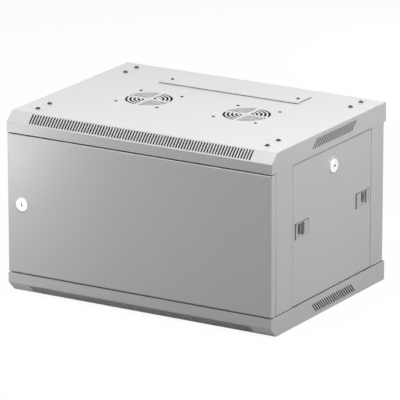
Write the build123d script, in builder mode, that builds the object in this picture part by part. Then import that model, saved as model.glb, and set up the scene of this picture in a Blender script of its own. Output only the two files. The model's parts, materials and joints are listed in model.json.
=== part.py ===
from build123d import *
import os

# Wall mount network cabinet for six rack units, in millimetres
# X runs along the front, Y from the door to the wall and Z up, from the middle of the base

# Cabinet
width = 600.0
depth = 450.0
height = 368.0

# Covers: folded pans with a sloped front edge
cover_height = 40.0
cover_sheet = 1.2
cover_bend = 2.0
cover_slope = 20.0
front_flange = 17.5

# Vent slots in the covers
vent_pitch = 6.3
vent_slot = 3.4
vent_length = 22.5
vent_margin = 48.0
side_vent_count = 20
side_vent_pitch = 8.0
side_vent_slot = 3.0
side_vent_length = 26.0
side_vent_angle = 45.0
side_vent_y = 18.5
side_vent_drop = 18.2

# Fan grilles in the top cover
fan_spacing = 224.0
fan_y = 1.5
fan_hole_spacing = 95.0
fan_hole = 4.5
grille_diameter = 95.0
grille_rings = 5
grille_slot = 4.6
grille_bar = 3.6
grille_spoke = 7.0

# Cable entries in both covers
entry_length = 270.0
entry_width = 42.0
entry_from_rear = 79.0
entry_plate_length = 318.0
entry_plate_width = 56.5
entry_plate_sheet = 1.2
entry_lid_height = 2.5
entry_screw_spacing = 290.0
entry_clearance = 0.4

# Posts: folded strips inside the covers' skirts
post_sheet = 1.5
post_bend = 2.5
post_gap = 0.2
post_setback = 19.5
post_front_flange = 18.6
post_rear_flange = 36.0
post_front_strip = 63.0
post_rear_strip = 50.8
panel_recess = 13.5
land_width = 18.5
tab_sheet = 3.0
tab_reach = 52.0
tab_overhang = 10.0
tab_setback = 4.0

# Cover screws, in pairs along the posts
screw_inset = 40.0
screw_pair = 42.4
front_pair_from_front = 72.7
rear_pair_from_rear = 51.3

# Fasteners
frame_screw = 5.0
frame_screw_head = 10.5
frame_screw_head_height = 3.0
frame_screw_length = 9.0
small_screw = 4.0
small_screw_head = 7.5
small_screw_head_height = 1.8
small_screw_length = 6.0
screw_clearance = 0.3

# Rear panel with the wall holes
rear_overhang = 4.7
rear_sheet = 1.2
rear_panel_lap = 20.0
rear_panel_inset = 10.0
wall_hole = 10.0
wall_hole_across = 450.0
wall_hole_up = 230.0

# Rack rails on depth rails, with as many units as the height holds
unit = 44.45
rack_margin = 50.0
unit_holes = (6.35, 22.225, 38.1)
rack_hole = 9.5
rack_hole_inset = 67.45
rack_opening_inset = 75.0
rack_sheet = 2.0
rack_web = 35.0
rack_front_setback = 60.0
rack_rear_setback = 95.0
rack_bolt = 6.0
rack_bolt_head = 10.0
rack_bolt_head_height = 4.0
rack_bolt_clearance = 0.1
rack_bolt_from_end = 8.35
rack_front_travel = (-20.0, 70.0)
rack_rear_travel = (-90.0, 50.0)
rail_gap = 0.3
rail_width = 27.6
rail_height = 26.0
rail_lip = 8.0
rail_sheet = 1.5
rail_end_gap = 10.0

# Door
door_depth = 16.7
door_sheet = 1.2
door_bend = 2.5
door_gap = 2.5
door_side_gap = 0.5
door_return = 12.0
stiffener_width = 36.0
stiffener_foot = 16.0
stiffener_rise = 11.0
stiffener_sheet = 1.0
stiffener_margin = 18.0

# Door hinge pins
hinge_inset = 7.0
hinge_setback = 6.5
hinge_pin = 6.0
hinge_clearance = 0.1
hinge_engagement = 8.0
hinge_handle_drop = 14.0
hinge_handle = 5.0
hinge_handle_reach = 24.0
hinge_spring_room = 11.0
hinge_bracket_width = 15.0
hinge_bracket_reach = 12.5
hinge_bracket_sheet = 1.5
hinge_pin_tail = 8.0
hinge_collar = 10.0
hinge_collar_gap = 0.2
hinge_pin_lower_reach = 9.0

# Side panels
panel_sheet = 1.0
panel_depth = 12.0
panel_bend = 1.8
panel_gap = 0.8
panel_top_gap = 1.5
panel_seat_gap = 0.9
hook_width = 40.0
hook_spacing = 200.0
hook_depth = 12.0
hook_sheet = 1.2
hook_gap = 0.5

# Slide latches in the side panels
latch_length = 55.0
latch_height = 33.0
latch_rim = 3.0
latch_from_edge = 35.0
latch_raise = 6.5
latch_dish = 2.5
latch_floor = 1.5
latch_body = 8.5
latch_window_back = 5.0
latch_window_front = 17.0
latch_window_height = 26.0
latch_wall = 1.5
latch_slider_height = 30.0
latch_slider_sheet = 1.7
latch_slider_back = 24.0
latch_slider_front = 20.0
latch_clearance = 0.2
latch_side_clearance = 0.5
latch_cup_back = 3.0
latch_cup_front = 14.0
latch_cup_height = 22.0
latch_throw = 8.0
latch_release_gap = 1.5
latch_hook_thickness = 3.0
latch_hook_height = 20.0
cup_land_gap = 1.0
hook_land_gap = 0.6

# Locks
lock_barrel = 19.0
lock_plug = 13.0
lock_bore_clearance = 0.05
lock_hole_clearance = 0.3
lock_flats = 16.0
lock_clip_length = 28.0
lock_clip_width = 24.0
lock_clip_leg = 4.0
lock_clip_sheet = 1.5
lock_keyway = 1.8
lock_keyway_length = 8.0
lock_keyway_depth = 4.0
lock_tail = 7.0
lock_tail_length = 3.0
lock_tail_clearance = 0.1
lock_cam_sheet = 1.8
lock_cam_width = 14.0
lock_cam_corner = 4.0
lock_face_step = 0.4
lock_plug_end = 1.0
door_lock_rosette = 26.5
door_lock_proud = 1.5
door_lock_inset = 34.0
door_lock_cam = 24.0
door_lock_cam_gap = 2.2
side_lock_rosette = 28.5
side_lock_proud = 5.5
side_lock_below_rail = 7.0
side_lock_engagement = 5.0
side_lock_cam_gap = 0.8

# Places that follow from the sizes above
half_width = width / 2
front_y = -depth / 2
rear_y = depth / 2
middle_z = height / 2
opening_low = cover_height
opening_high = height - cover_height
post_x = half_width - cover_sheet - post_gap
post_low = cover_bend + post_gap
post_front_y = front_y + post_setback
post_rear_y = rear_y - rear_overhang
side_front_y = post_front_y + post_front_strip
side_rear_y = post_rear_y - post_rear_strip
land_x = post_x - panel_recess
rail_outer_x = land_x - post_sheet
rail_inner_x = rail_outer_x - rail_width
rack_outer_x = rail_inner_x - rail_gap
rack_inner_x = half_width - rack_opening_inset
rack_hole_x = half_width - rack_hole_inset
rack_units = int((height - 2 * rack_margin) / unit)
rack_height = rack_units * unit
rack_low = middle_z - rack_height / 2
rack_high = middle_z + rack_height / 2
rail_low_z = rack_low + rack_bolt_from_end
rail_high_z = rack_high - rack_bolt_from_end
hinge_x = half_width - hinge_inset
hinge_y = front_y + hinge_setback
panel_low = opening_low + panel_seat_gap
panel_high = opening_high - panel_top_gap
panel_front_y = side_front_y + panel_gap
panel_rear_y = side_rear_y - panel_gap
hook_x = post_x - panel_depth + hook_sheet
latch_z = middle_z + latch_raise
panel_middle_y = (panel_front_y + panel_rear_y) / 2
side_lock_z = rail_high_z - rail_height / 2 - side_lock_below_rail
side_lock_cam = opening_high + side_lock_engagement - side_lock_z
front_screws_y = [front_y + front_pair_from_front + side * screw_pair / 2 for side in (-1, 1)]
rear_screws_y = [rear_y - rear_pair_from_rear + side * screw_pair / 2 for side in (-1, 1)]
entry_y = rear_y - entry_from_rear
entry_screw_places = [(side * entry_screw_spacing / 2, entry_y) for side in (-1, 1)]
frame_screw_places = [
    (side * (half_width - screw_inset), y) for side in (-1, 1) for y in front_screws_y + rear_screws_y
]
middle_plane = Plane.XY.offset(middle_z)
door_lock_plane = Plane(
    origin=(door_lock_inset - half_width, front_y, middle_z), x_dir=(0, 0, -1), z_dir=(0, -1, 0)
)
side_lock_plane = Plane(origin=(post_x, panel_middle_y, side_lock_z), x_dir=(0, 1, 0), z_dir=(1, 0, 0))

os.makedirs("parts", exist_ok=True)


def finish(piece, name):
    """Labels a finished piece and writes it."""
    piece.part.label = name
    export_step(piece.part, f"parts/{name}.step")


def mirrored(piece, plane):
    """The mirror image of a piece, as a piece of its own."""
    with BuildPart() as image:
        add(mirror(piece.part, about=plane, mode=Mode.PRIVATE))
    return image


def box_cut(corner, opposite):
    """Cuts a box between two corners from the piece being made."""
    low = Vector(*corner)
    size = Vector(*opposite) - low
    with Locations(low + size / 2):
        Box(abs(size.X), abs(size.Y), abs(size.Z), mode=Mode.SUBTRACT)


def plate(corner, opposite):
    """Adds a flat plate between two corners to the piece being made."""
    low = Vector(*corner)
    size = Vector(*opposite) - low
    with Locations(low + size / 2):
        Box(abs(size.X), abs(size.Y), abs(size.Z))


def lock_hole(plane, sheet):
    """Cuts a round hole with two flats for a lock from the piece being made."""
    with BuildSketch(plane) as outline:
        Circle(lock_barrel / 2 + lock_hole_clearance)
        Rectangle(lock_barrel * 2, lock_flats + 2 * lock_hole_clearance, mode=Mode.INTERSECT)
    extrude(outline.sketch, amount=-2 * sheet, mode=Mode.SUBTRACT)


# Covers


def cover_pan():
    """The pan that both covers start from, in the top cover's place."""
    with BuildPart() as pan:
        with BuildSketch(Plane.YZ):
            with BuildLine():
                Polyline(
                    (front_y, opening_high),
                    (front_y, height - cover_slope),
                    (front_y + cover_slope, height),
                    (rear_y, height),
                    (rear_y, opening_high),
                    close=True,
                )
            make_face()
        extrude(amount=half_width, both=True)
        long_bends = pan.edges().filter_by(Axis.X).sort_by(Axis.Z)[2:]
        side_bends = pan.edges().filter_by(Axis.Y).group_by(Axis.Z)[-1]
        fillet(long_bends + side_bends, radius=cover_bend)
        offset(amount=-cover_sheet, openings=pan.faces().sort_by(Axis.Z)[0])

        # Flange under the front edge, with the hole for a hinge pin
        inner_x = half_width - cover_sheet / 2
        flange_rear = front_y + front_flange
        with BuildSketch(Plane.XY.offset(opening_high)):
            with Locations((0, (front_y + cover_sheet / 2 + flange_rear) / 2)):
                Rectangle(2 * inner_x, flange_rear - front_y - cover_sheet / 2)
            with Locations((hinge_x, hinge_y)):
                Circle(hinge_pin / 2 + hinge_clearance, mode=Mode.SUBTRACT)
        extrude(amount=cover_sheet)

        # Lips that hold the side panels, between the posts
        lip_inner = hook_x + hook_gap
        for side in (-1, 1):
            with BuildSketch(Plane.XY.offset(opening_high)):
                with Locations((side * (inner_x + lip_inner) / 2, panel_middle_y)):
                    Rectangle(inner_x - lip_inner, panel_rear_y - panel_front_y)
            extrude(amount=cover_sheet)

        # Front vents, cut square to the slope
        slope_plane = Plane(
            origin=(0, front_y + cover_slope / 2, height - cover_slope / 2),
            x_dir=(1, 0, 0),
            z_dir=(0, -1, 1),
        )
        vent_count = int((width - 2 * vent_margin) / vent_pitch + 0.5)
        with BuildSketch(slope_plane):
            with GridLocations(vent_pitch, 0, vent_count, 1):
                Rectangle(vent_slot, vent_length)
        extrude(amount=2 * cover_sheet, both=True, mode=Mode.SUBTRACT)

        # Slanted vents through both skirts
        side_plane = Plane(
            origin=(half_width, side_vent_y, height - side_vent_drop),
            x_dir=(0, 1, 0),
            z_dir=(1, 0, 0),
        )
        with BuildSketch(side_plane):
            with GridLocations(side_vent_pitch, 0, side_vent_count, 1):
                Rectangle(side_vent_length, side_vent_slot, rotation=side_vent_angle)
        extrude(amount=-width, mode=Mode.SUBTRACT)

        # Cable entry
        with BuildSketch(Plane.XY.offset(height)):
            with Locations((0, entry_y)):
                Rectangle(entry_length, entry_width)
        extrude(amount=-2 * cover_sheet, mode=Mode.SUBTRACT)
    return pan


cover_blank = cover_pan()

with BuildPart() as top_cover:
    add(cover_blank.part)

    # Fan grilles: rings of arc slots, cut through by two crossed spokes
    ring_step = grille_slot + grille_bar
    with BuildSketch(Plane.XY.offset(height)):
        with GridLocations(fan_spacing, 0, 2, 1):
            with Locations((0, fan_y)):
                for ring in range(grille_rings):
                    outer = grille_diameter / 2 - ring * ring_step
                    Circle(outer)
                    Circle(outer - grille_slot, mode=Mode.SUBTRACT)
                Rectangle(grille_diameter, grille_spoke, mode=Mode.SUBTRACT)
                Rectangle(grille_spoke, grille_diameter, mode=Mode.SUBTRACT)
                with GridLocations(fan_hole_spacing, fan_hole_spacing, 2, 2):
                    Circle(fan_hole / 2)
    extrude(amount=-2 * cover_sheet, mode=Mode.SUBTRACT)

    # Holes for the screws of the posts and of the cable entry cover
    with BuildSketch(Plane.XY.offset(height)):
        with Locations(*frame_screw_places):
            RegularPolygon(frame_screw / 2 + screw_clearance, 6)
        with Locations(*entry_screw_places):
            RegularPolygon(small_screw / 2 + screw_clearance, 6)
    extrude(amount=-2 * cover_sheet, mode=Mode.SUBTRACT)
finish(top_cover, "top_cover")

bottom_cover = mirrored(cover_blank, middle_plane)
finish(bottom_cover, "bottom_cover")


# Cable entry covers: the top one is screwed down, the bottom one is pushed into its opening


def screws(places, seat_z, diameter, head, head_height, length):
    """Screws that point down from one level, with twelve-sided heads and six-sided shanks."""
    with BuildPart() as group:
        with BuildSketch(Plane.XY.offset(seat_z)):
            with Locations(*places):
                RegularPolygon(head / 2, 12)
        extrude(amount=head_height)
        with BuildSketch(Plane.XY.offset(seat_z)):
            with Locations(*places):
                RegularPolygon(diameter / 2, 6)
        extrude(amount=-length)
    return group


with BuildPart() as top_cable_cover:
    with BuildSketch(Plane.XY.offset(height)):
        with Locations((0, entry_y)):
            Rectangle(entry_plate_length, entry_plate_width)
    extrude(amount=entry_lid_height)
    offset(amount=-entry_plate_sheet, openings=top_cable_cover.faces().sort_by(Axis.Z)[0])
    with BuildSketch(Plane.XY.offset(height + entry_lid_height)):
        with Locations(*entry_screw_places):
            RegularPolygon(small_screw / 2 + screw_clearance, 6)
    extrude(amount=-2 * entry_plate_sheet, mode=Mode.SUBTRACT)
finish(top_cable_cover, "top_cable_cover")

with BuildPart() as bottom_cable_cover:
    with BuildSketch(Plane.XY.offset(cover_sheet)):
        with Locations((0, entry_y)):
            Rectangle(entry_plate_length, entry_plate_width)
    extrude(amount=entry_plate_sheet)
    with BuildSketch(Plane.XY):
        with Locations((0, entry_y)):
            Rectangle(entry_length - 2 * entry_clearance, entry_width - 2 * entry_clearance)
    extrude(amount=cover_sheet)
finish(bottom_cable_cover, "bottom_cable_cover")

top_cable_cover_screws = screws(
    entry_screw_places,
    height + entry_lid_height,
    small_screw,
    small_screw_head,
    small_screw_head_height,
    small_screw_length,
)
finish(top_cable_cover_screws, "top_cable_cover_screws")

top_frame_screws = screws(
    frame_screw_places,
    height,
    frame_screw,
    frame_screw_head,
    frame_screw_head_height,
    frame_screw_length,
)
finish(top_frame_screws, "top_frame_screws")


# Corner posts


def right_post(outer_y, strip_y, flange, screws_y, inward):
    """A right-hand post folded into a flange, an outer strip, a step and a land, with end tabs."""
    with BuildPart() as post:
        with BuildSketch(Plane.XY.offset(post_low)):
            with BuildLine():
                FilletPolyline(
                    (post_x - flange, outer_y),
                    (post_x, outer_y),
                    (post_x, strip_y),
                    (land_x, strip_y),
                    (land_x, strip_y + inward * land_width),
                    radius=(post_bend, 0, 0),
                )
                offset(amount=post_sheet, side=Side.LEFT if inward > 0 else Side.RIGHT)
            make_face()
        extrude(amount=height - 2 * post_low)

        # Tabs that carry the covers, tapped for the screws of the top one
        inner_x = post_x - tab_reach
        tab_start = outer_y + inward * tab_setback
        tab_end = max(inward * y for y in screws_y) * inward + inward * tab_overhang
        for low_z in (cover_sheet, height - cover_sheet - tab_sheet):
            with BuildSketch(Plane.XY.offset(low_z)):
                with Locations(((inner_x + land_x) / 2, (tab_start + tab_end) / 2)):
                    Rectangle(land_x - inner_x, abs(tab_end - tab_start))
            extrude(amount=tab_sheet)
        with BuildSketch(Plane.XY.offset(height)):
            for y in screws_y:
                with Locations((half_width - screw_inset, y)):
                    RegularPolygon(frame_screw / 2 + screw_clearance, 6)
        extrude(amount=-2 * (cover_sheet + tab_sheet), mode=Mode.SUBTRACT)

        # Ends trimmed to clear the covers' sloped edges
        slope_start = front_y + cover_sheet * 2**0.5 + post_gap * 2
        with BuildSketch(Plane.YZ.offset(post_x - tab_reach)):
            for base, upward in ((0, -1), (height, 1)):
                with BuildLine():
                    Polyline(
                        (slope_start, base - upward * cover_slope),
                        (slope_start + cover_slope, base),
                        (slope_start, base),
                        close=True,
                    )
                make_face()
        extrude(amount=tab_reach, mode=Mode.SUBTRACT)
    return post


front_post = right_post(post_front_y, side_front_y, post_front_flange, front_screws_y, 1)
rear_post = right_post(post_rear_y, side_rear_y, post_rear_flange, rear_screws_y, -1)
for place, post in (("front", front_post), ("rear", rear_post)):
    finish(post, f"{place}_post_right")
    finish(mirrored(post, Plane.YZ), f"{place}_post_left")

# Rear panel, on the back of the rear posts

with BuildPart() as rear_panel:
    with BuildSketch(Plane.XZ.offset(-post_rear_y)):
        with Locations((0, middle_z)):
            Rectangle(2 * (post_x - rear_panel_inset), opening_high - opening_low + 2 * rear_panel_lap)
            with GridLocations(wall_hole_across, wall_hole_up, 2, 2):
                Circle(wall_hole / 2, mode=Mode.SUBTRACT)
    extrude(amount=-rear_sheet)
finish(rear_panel, "rear_panel")

# Depth rails and rack rails

rack_front_y = front_y + rack_front_setback
rack_rear_y = rear_y - rack_rear_setback


def depth_rail(middle):
    """A right-hand lipped channel between the posts, with slots for the rack rails' bolts."""
    low = middle - rail_height / 2
    high = middle + rail_height / 2
    start_y = post_front_y + rail_end_gap
    end_y = post_rear_y - rail_end_gap
    with BuildPart() as rail:
        with BuildSketch(Plane.XZ.offset(-start_y)):
            with BuildLine():
                Polyline(
                    (rail_outer_x, low + rail_lip),
                    (rail_outer_x, low),
                    (rail_inner_x, low),
                    (rail_inner_x, high),
                    (rail_outer_x, high),
                    (rail_outer_x, high - rail_lip),
                )
                offset(amount=rail_sheet, side=Side.RIGHT)
            make_face()
        extrude(amount=start_y - end_y)
        slot_half = rack_bolt / 2 + screw_clearance
        for bolt_y, travel in (
            (rack_front_y + rack_web / 2, rack_front_travel),
            (rack_rear_y - rack_web / 2, rack_rear_travel),
        ):
            box_cut(
                (rail_inner_x - rail_sheet, bolt_y + travel[0] - slot_half, middle - slot_half),
                (rail_inner_x + 2 * rail_sheet, bolt_y + travel[1] + slot_half, middle + slot_half),
            )
    return rail


def rack_rail(face_y, inward):
    """A right-hand angle with the square rack holes in its face and a web along the depth rails."""
    with BuildPart() as rail:
        with BuildSketch(Plane.XY.offset(rack_low)):
            with BuildLine():
                Polyline(
                    (rack_inner_x, face_y),
                    (rack_outer_x, face_y),
                    (rack_outer_x, face_y + inward * rack_web),
                )
                offset(amount=rack_sheet, side=Side.LEFT if inward > 0 else Side.RIGHT)
            make_face()
        extrude(amount=rack_height)
        with BuildSketch(Plane.XZ.offset(-face_y)):
            for number in range(rack_units):
                for rise in unit_holes:
                    with Locations((rack_hole_x, rack_low + number * unit + rise)):
                        Rectangle(rack_hole, rack_hole)
        extrude(amount=2 * rack_sheet, both=True, mode=Mode.SUBTRACT)
        bolt_hole = rack_bolt + 2 * rack_bolt_clearance
        bolt_y = face_y + inward * rack_web / 2
        bolt_plane = Plane(origin=(rack_outer_x, bolt_y, middle_z), x_dir=(0, 1, 0), z_dir=(1, 0, 0))
        with BuildSketch(bolt_plane):
            with GridLocations(0, rail_high_z - rail_low_z, 1, 2):
                Rectangle(bolt_hole, bolt_hole)
        extrude(amount=-2 * rack_sheet, mode=Mode.SUBTRACT)
    return rail


def rack_bolts(face_y, inward):
    """Two square-necked bolts from inside the depth rails through the web of a right-hand rack rail."""
    seat_x = rail_inner_x + rail_sheet + rail_gap
    bolt_y = face_y + inward * rack_web / 2
    seat_plane = Plane(origin=(seat_x, bolt_y, middle_z), x_dir=(0, 1, 0), z_dir=(1, 0, 0))
    with BuildPart() as bolts:
        with BuildSketch(seat_plane):
            with GridLocations(0, rail_high_z - rail_low_z, 1, 2):
                RegularPolygon(rack_bolt_head / 2, 6, major_radius=False)
        extrude(amount=rack_bolt_head_height)
        with BuildSketch(seat_plane):
            with GridLocations(0, rail_high_z - rail_low_z, 1, 2):
                Rectangle(rack_bolt, rack_bolt)
        extrude(amount=rack_outer_x - rack_sheet - seat_x)
    return bolts


for place, middle in (("lower", rail_low_z), ("upper", rail_high_z)):
    rail = depth_rail(middle)
    finish(rail, f"{place}_depth_rail_right")
    finish(mirrored(rail, Plane.YZ), f"{place}_depth_rail_left")

for place, face_y, inward in (("front", rack_front_y, 1), ("rear", rack_rear_y, -1)):
    rail = rack_rail(face_y, inward)
    finish(rail, f"{place}_rack_rail_right")
    finish(mirrored(rail, Plane.YZ), f"{place}_rack_rail_left")
    bolts = rack_bolts(face_y, inward)
    finish(bolts, f"{place}_rack_bolts_right")
    finish(mirrored(bolts, Plane.YZ), f"{place}_rack_bolts_left")

# Door

door_half = half_width - door_side_gap
door_low = opening_low + door_gap
door_high = opening_high - door_gap
door_back_y = front_y + door_depth
door_skin_y = front_y + door_sheet

with BuildPart() as door_panel:
    with BuildSketch(Plane.XZ.offset(-front_y)):
        with Locations((0, middle_z)):
            Rectangle(2 * door_half, door_high - door_low)
    extrude(amount=-door_depth)
    front_face = door_panel.faces().sort_by(Axis.Y)[0]
    fillet(front_face.edges(), radius=door_bend)
    offset(amount=-door_sheet, openings=door_panel.faces().sort_by(Axis.Y)[-1])

    # Returns along both upright edges
    for side in (-1, 1):
        plate(
            (side * (door_half - door_return), door_back_y - door_sheet, door_low + door_sheet / 2),
            (side * (door_half - door_sheet / 2), door_back_y, door_high - door_sheet / 2),
        )

    # Hinge pin holes through the upper and lower edges, and the lock hole
    with BuildSketch(Plane.XY.offset(door_low)):
        with Locations((hinge_x, hinge_y)):
            Circle(hinge_pin / 2 + hinge_clearance)
    extrude(amount=door_high - door_low, mode=Mode.SUBTRACT)
    lock_hole(door_lock_plane, door_sheet)
finish(door_panel, "door_panel")

with BuildPart() as door_stiffener:
    with BuildSketch(Plane.XY.offset(door_low + stiffener_margin)):
        with BuildLine():
            Polyline(
                (-stiffener_width / 2 - stiffener_foot, door_skin_y),
                (-stiffener_width / 2, door_skin_y),
                (-stiffener_width / 2, door_skin_y + stiffener_rise),
                (stiffener_width / 2, door_skin_y + stiffener_rise),
                (stiffener_width / 2, door_skin_y),
                (stiffener_width / 2 + stiffener_foot, door_skin_y),
            )
            offset(amount=stiffener_sheet, side=Side.LEFT)
        make_face()
    extrude(amount=door_high - door_low - 2 * stiffener_margin)
finish(door_stiffener, "door_stiffener")

# Hinge pins: the upper one draws down by its handle, the lower one is fixed to the door

hinge_travel = hinge_engagement + door_gap
handle_z = door_high - hinge_handle_drop
bracket_z = handle_z - hinge_handle / 2 - hinge_travel - hinge_spring_room
pin_low = bracket_z - hinge_bracket_sheet - hinge_pin_tail
pin_high = door_high + hinge_travel
bracket_outer_x = door_half - door_bend
bracket_inner_x = bracket_outer_x - hinge_bracket_width

with BuildPart() as hinge_bracket:
    plate(
        (bracket_inner_x, door_skin_y, bracket_z - hinge_bracket_width),
        (bracket_outer_x, door_skin_y + hinge_bracket_sheet, bracket_z),
    )
    plate(
        (bracket_inner_x, door_skin_y, bracket_z - hinge_bracket_sheet),
        (bracket_outer_x, door_skin_y + hinge_bracket_reach, bracket_z),
    )
    with BuildSketch(Plane.XY.offset(bracket_z)):
        with Locations((hinge_x, hinge_y)):
            Circle(hinge_pin / 2 + hinge_clearance)
    extrude(amount=-2 * hinge_bracket_sheet, mode=Mode.SUBTRACT)
finish(hinge_bracket, "hinge_bracket")

with BuildPart() as upper_hinge_pin:
    with BuildSketch(Plane.XY.offset(pin_low)):
        with Locations((hinge_x, hinge_y)):
            Circle(hinge_pin / 2)
    extrude(amount=pin_high - pin_low)
    with BuildSketch(Plane.YZ.offset(hinge_x)):
        with Locations((hinge_y, handle_z)):
            Rectangle(hinge_handle, hinge_handle)
    extrude(amount=-hinge_handle_reach)
finish(upper_hinge_pin, "upper_hinge_pin")

with BuildPart() as lower_hinge_pin:
    with BuildSketch(Plane.XY.offset(opening_low - hinge_pin_lower_reach)):
        with Locations((hinge_x, hinge_y)):
            Circle(hinge_pin / 2)
    extrude(amount=2 * hinge_pin_lower_reach + door_gap)
    with BuildSketch(Plane.XY.offset(opening_low + hinge_collar_gap)):
        with Locations((hinge_x, hinge_y)):
            Rectangle(hinge_collar, hinge_collar)
    extrude(amount=door_gap - hinge_collar_gap)
finish(lower_hinge_pin, "lower_hinge_pin")

# Locks: each has a housing with two flats, a clip behind the sheet, a plug that turns and a cam on its tail


def lock(plane, sheet, rosette, proud, cam_depth, cam_reach):
    """The pieces of a quarter-turn key lock, on a plane that points out with its X along the cam."""
    barrel_end = cam_depth - lock_plug_end
    with BuildPart() as housing:
        with BuildSketch(plane):
            Circle(rosette / 2)
        extrude(amount=proud)
        with BuildSketch(plane):
            Circle(lock_barrel / 2)
            Rectangle(lock_barrel, lock_flats, mode=Mode.INTERSECT)
        extrude(amount=-barrel_end)
        with BuildSketch(plane.offset(proud)):
            Circle(lock_plug / 2 + lock_bore_clearance)
        extrude(amount=-proud - barrel_end, mode=Mode.SUBTRACT)

    with BuildPart() as clip:
        with BuildSketch(plane.offset(-sheet)):
            Rectangle(lock_clip_length, lock_clip_width)
            with Locations((lock_clip_leg, 0)):
                Rectangle(lock_clip_length, lock_flats + 2 * lock_bore_clearance, mode=Mode.SUBTRACT)
        extrude(amount=-lock_clip_sheet)

    with BuildPart() as plug:
        with BuildSketch(plane.offset(proud - lock_face_step)):
            Circle(lock_plug / 2)
        extrude(amount=-(proud - lock_face_step + cam_depth))
        with BuildSketch(plane.offset(-cam_depth)):
            Rectangle(lock_tail, lock_tail)
        extrude(amount=-(lock_cam_sheet + lock_tail_length))
        with BuildSketch(plane.offset(proud - lock_face_step)):
            Rectangle(lock_keyway_length, lock_keyway)
        extrude(amount=-lock_keyway_depth, mode=Mode.SUBTRACT)

    hole = lock_tail + 2 * lock_tail_clearance
    with BuildPart() as cam:
        with BuildSketch(plane.offset(-cam_depth)):
            with Locations(((cam_reach - lock_cam_width / 2) / 2, 0)):
                Rectangle(cam_reach + lock_cam_width / 2, lock_cam_width)
            Rectangle(hole, hole, mode=Mode.SUBTRACT)
        extrude(amount=-lock_cam_sheet)
        upright_edges = cam.edges().filter_by(Axis(plane.origin, plane.z_dir))
        tip_edges = upright_edges.group_by(Axis(plane.origin, plane.x_dir))[-1]
        chamfer(tip_edges, length=lock_cam_corner)
    return {"housing": housing, "clip": clip, "plug": plug, "cam": cam}


door_lock = lock(
    door_lock_plane,
    door_sheet,
    door_lock_rosette,
    door_lock_proud,
    post_setback + post_sheet + door_lock_cam_gap,
    door_lock_cam,
)
for piece, made in door_lock.items():
    finish(made, f"door_lock_{piece}")

side_lock = lock(
    side_lock_plane,
    panel_sheet,
    side_lock_rosette,
    side_lock_proud,
    panel_depth + side_lock_cam_gap,
    side_lock_cam,
)
for piece, made in side_lock.items():
    finish(made, f"side_lock_{piece}_right")
    finish(mirrored(made, Plane.YZ), f"side_lock_{piece}_left")

# Side panels, each hooked behind the lip of the bottom cover

latch_places = {"front": (panel_front_y + latch_from_edge, -1), "rear": (panel_rear_y - latch_from_edge, 1)}

with BuildPart() as side_panel:
    with BuildSketch(Plane.YZ.offset(post_x)):
        with Locations((panel_middle_y, (panel_low + panel_high) / 2)):
            Rectangle(panel_rear_y - panel_front_y, panel_high - panel_low)
    extrude(amount=-panel_depth)
    fillet(side_panel.faces().sort_by(Axis.X)[-1].edges(), radius=panel_bend)
    offset(amount=-panel_sheet, openings=side_panel.faces().sort_by(Axis.X)[0])
    for side in (-1, 1):
        hook_y = panel_middle_y + side * hook_spacing / 2
        plate(
            (hook_x - hook_sheet, hook_y - hook_width / 2, panel_low - hook_depth),
            (hook_x, hook_y + hook_width / 2, panel_low + panel_sheet),
        )
    with BuildSketch(Plane.YZ.offset(post_x)):
        for latch in latch_places.values():
            with Locations((latch[0], latch_z)):
                Rectangle(latch_length, latch_height)
    extrude(amount=-2 * panel_sheet, mode=Mode.SUBTRACT)
    lock_hole(side_lock_plane, panel_sheet)
finish(side_panel, "side_panel_right")
finish(mirrored(side_panel, Plane.YZ), "side_panel_left")

# Slide latches: a housing behind the panel, a slider with a finger cup and a hooked bolt

latch_outer_length = latch_length + 2 * latch_rim
latch_outer_height = latch_height + 2 * latch_rim
latch_floor_back = latch_dish + latch_floor
plate_front = latch_floor_back + latch_clearance
plate_back = plate_front + latch_slider_sheet
groove_back = plate_back + latch_clearance
groove_length = latch_outer_length - 2 * latch_wall
cup_back = panel_recess - cup_land_gap
hook_front = panel_recess + post_sheet + hook_land_gap
land_edge = latch_from_edge + panel_gap - land_width


def latch_housing(face):
    """A housing with a dish, a window for the slider's cup and a groove for its plate."""
    window_length = latch_window_front + latch_window_back
    with BuildPart() as housing:
        with BuildSketch(face.offset(-panel_sheet)):
            Rectangle(latch_outer_length, latch_outer_height)
        extrude(amount=panel_sheet - latch_body)
        with BuildSketch(face.offset(-panel_sheet)):
            Rectangle(latch_length, latch_height)
        extrude(amount=panel_sheet - latch_dish, mode=Mode.SUBTRACT)
        with BuildSketch(face.offset(-latch_dish)):
            with Locations(((latch_window_front - latch_window_back) / 2, 0)):
                Rectangle(window_length, latch_window_height)
        extrude(amount=-latch_floor, mode=Mode.SUBTRACT)
        with BuildSketch(face.offset(-latch_floor_back)):
            Rectangle(groove_length, latch_slider_height + 2 * latch_side_clearance)
        extrude(amount=latch_floor_back - groove_back, mode=Mode.SUBTRACT)
        with BuildSketch(face.offset(-groove_back)):
            Rectangle(groove_length, latch_cup_height + 2 * latch_wall + 2 * latch_side_clearance)
        extrude(amount=groove_back - latch_body, mode=Mode.SUBTRACT)
    return housing


def slab(face, back, front, tall, start, end, mode=Mode.ADD):
    """Adds or cuts a block on a latch's own plane, between two depths behind it."""
    with BuildSketch(face.offset(-start)) as outline:
        with Locations(((front - back) / 2, 0)):
            Rectangle(front + back, tall)
    extrude(outline.sketch, amount=start - end, mode=mode)


def latch_slider(face):
    """A slider: a plate that runs in the groove, with a finger cup."""
    cup_rear = latch_cup_back + latch_wall
    cup_front = latch_cup_front + latch_wall
    cup_tall = latch_cup_height + 2 * latch_wall
    cup_floor = cup_back - latch_wall
    with BuildPart() as slider:
        slab(face, latch_slider_back, latch_slider_front, latch_slider_height, plate_front, plate_back)
        slab(face, cup_rear, cup_front, cup_tall, plate_back, cup_back)
        slab(face, latch_cup_back, latch_cup_front, latch_cup_height, plate_front, cup_floor, Mode.SUBTRACT)
    return slider


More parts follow.
